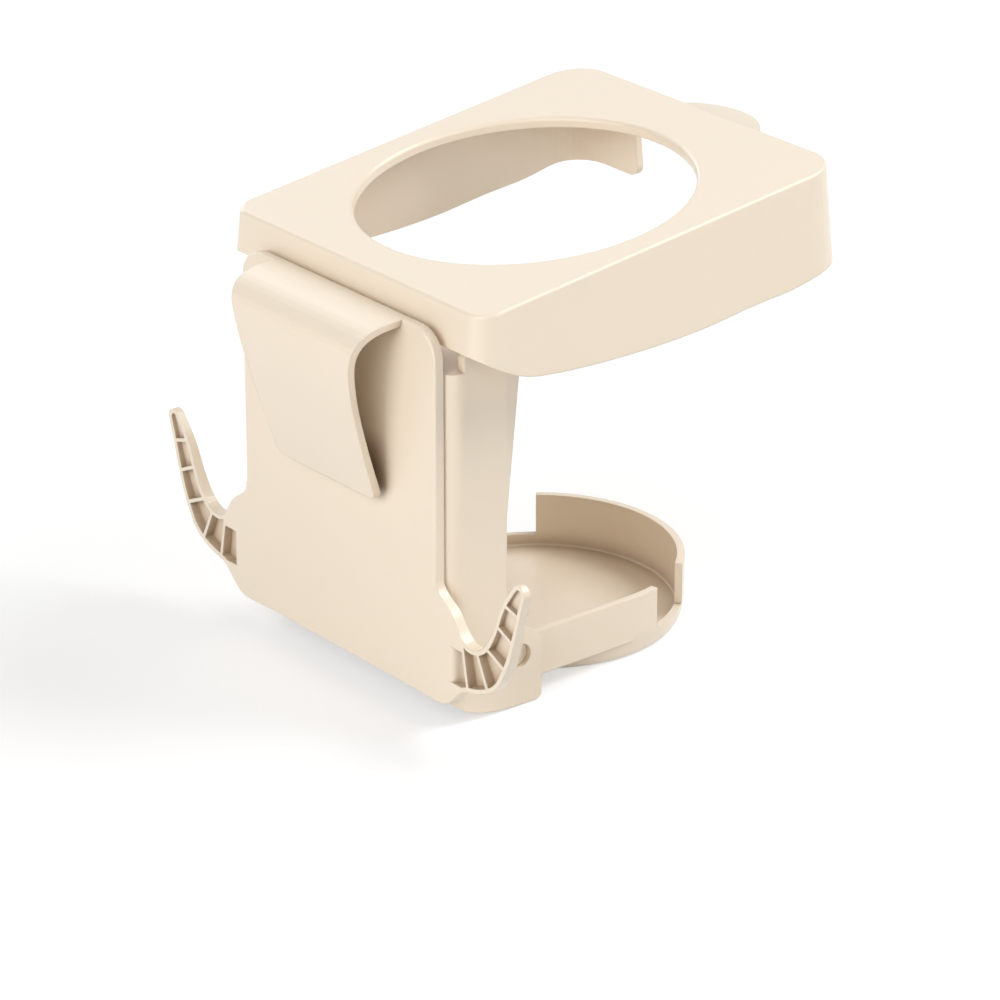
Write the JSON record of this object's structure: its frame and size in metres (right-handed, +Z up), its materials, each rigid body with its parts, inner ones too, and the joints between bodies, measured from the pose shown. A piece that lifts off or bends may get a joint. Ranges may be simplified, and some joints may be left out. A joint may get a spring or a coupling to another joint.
{
  "type": "folding car cup holder",
  "caption": "Folding cup holder that clips over an edge in a car, with a hinged cover frame, a hinged round tray and two side hooks.",
  "frame": {"origin": "middle of the tray's round underside, on the level the holder stands on, under the cup's axis", "axes": "+Z up along the cup's axis, +Y from the clip and back plate towards the cup and the finger tab, +X across the width, to the right for someone who looks at the clip's side"},
  "size_m": [0.1324, 0.1325, 0.1134],
  "materials": {
    "cream_plastic": "satin"
  },
  "bodies": {
    "base": {"back_plate": "cream_plastic", "housing": "cream_plastic"},
    "cover": {"cover_frame": "cream_plastic", "cover_pin_left": "cream_plastic", "cover_pin_right": "cream_plastic"},
    "tray": {"tray": "cream_plastic", "tray_pin_left": "cream_plastic", "tray_pin_right": "cream_plastic"}
  },
  "joints": [
    {"name": "cover_fold", "type": "hinge", "parent": "base", "child": "cover", "pos_m": [0, -0.0392, 0.0892], "axis": [1, 0, 0], "range_deg": [-90, 0]},
    {"name": "tray_fold", "type": "hinge", "parent": "base", "child": "tray", "pos_m": [0, -0.0356, 0.0123], "axis": [1, 0, 0], "range_deg": [0, 90]}
  ],
  "couplings": [
    {"joint": "tray_fold", "follows": "cover_fold", "ratio": -1}
  ]
}
